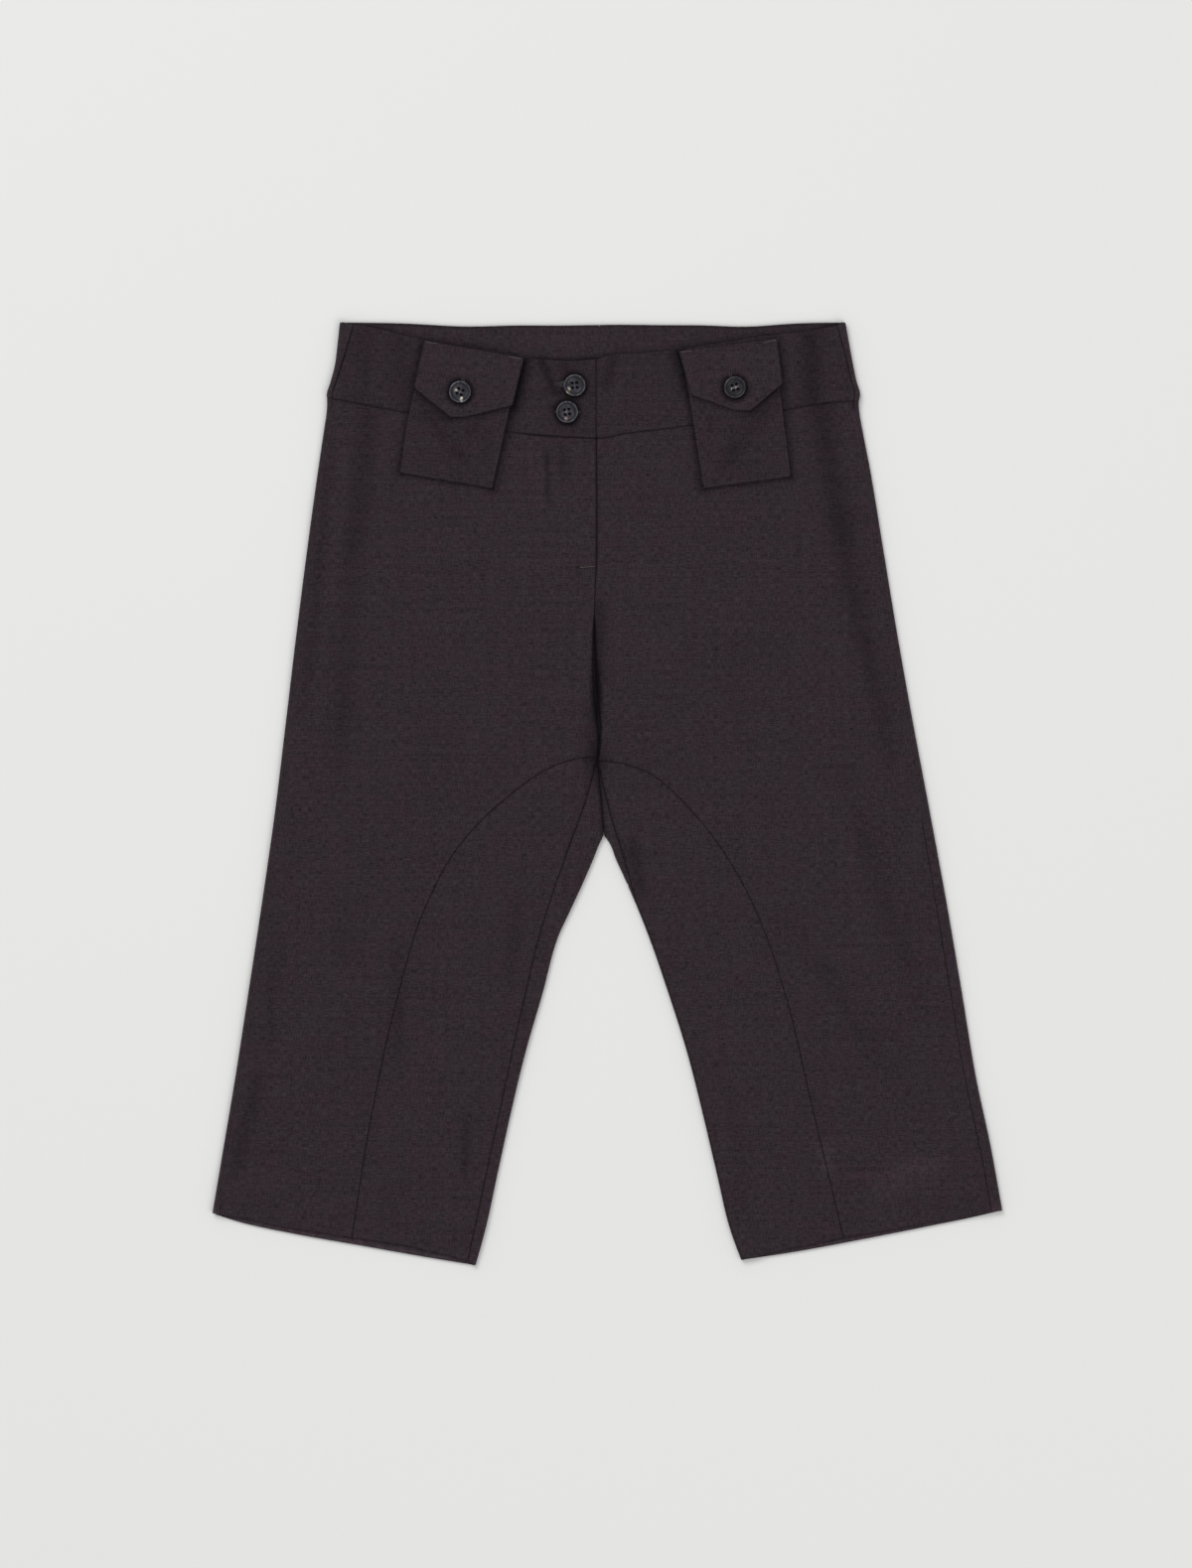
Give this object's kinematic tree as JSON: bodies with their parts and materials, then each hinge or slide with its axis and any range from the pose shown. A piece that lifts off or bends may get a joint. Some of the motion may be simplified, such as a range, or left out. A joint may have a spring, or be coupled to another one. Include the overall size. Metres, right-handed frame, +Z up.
{
  "type": "capri pants",
  "caption": "Cropped dark trousers laid flat, with a wide contoured waistband, curved thigh insets and small buttoned flap pockets hanging from the waist.",
  "frame": {"origin": "centre of the bounding box on the surface that the garment lies on", "axes": "+Y runs up the garment from the hems to the waist, +X to the wearer's left, +Z up off the surface"},
  "size_m": [0.6048, 0.724, 0.0132],
  "materials": {
    "suiting": "matte fine plain-weave wool suiting, dark brownish plum with a faint melange",
    "button": "polished dark horn effect, nearly black with a pale mottled patch near the edge"
  },
  "bodies": {
    "root": {"back_right": "suiting", "back_left": "suiting", "front_right": "suiting", "front_left": "suiting", "thigh_inset_right": "suiting", "thigh_inset_left": "suiting", "waistband_back_right": "suiting", "waistband_back_left": "suiting", "waistband_front_right": "suiting", "waistband_front_left": "suiting", "pocket_back_right": "suiting", "pocket_back_left": "suiting", "pocket_front_right": "suiting", "pocket_front_left": "suiting", "pocket_flap_right": "suiting", "pocket_flap_left": "suiting", "button_pocket_right": "button", "button_pocket_left": "button", "button_waist_upper": "button", "button_waist_lower": "button"}
  },
  "joints": []
}
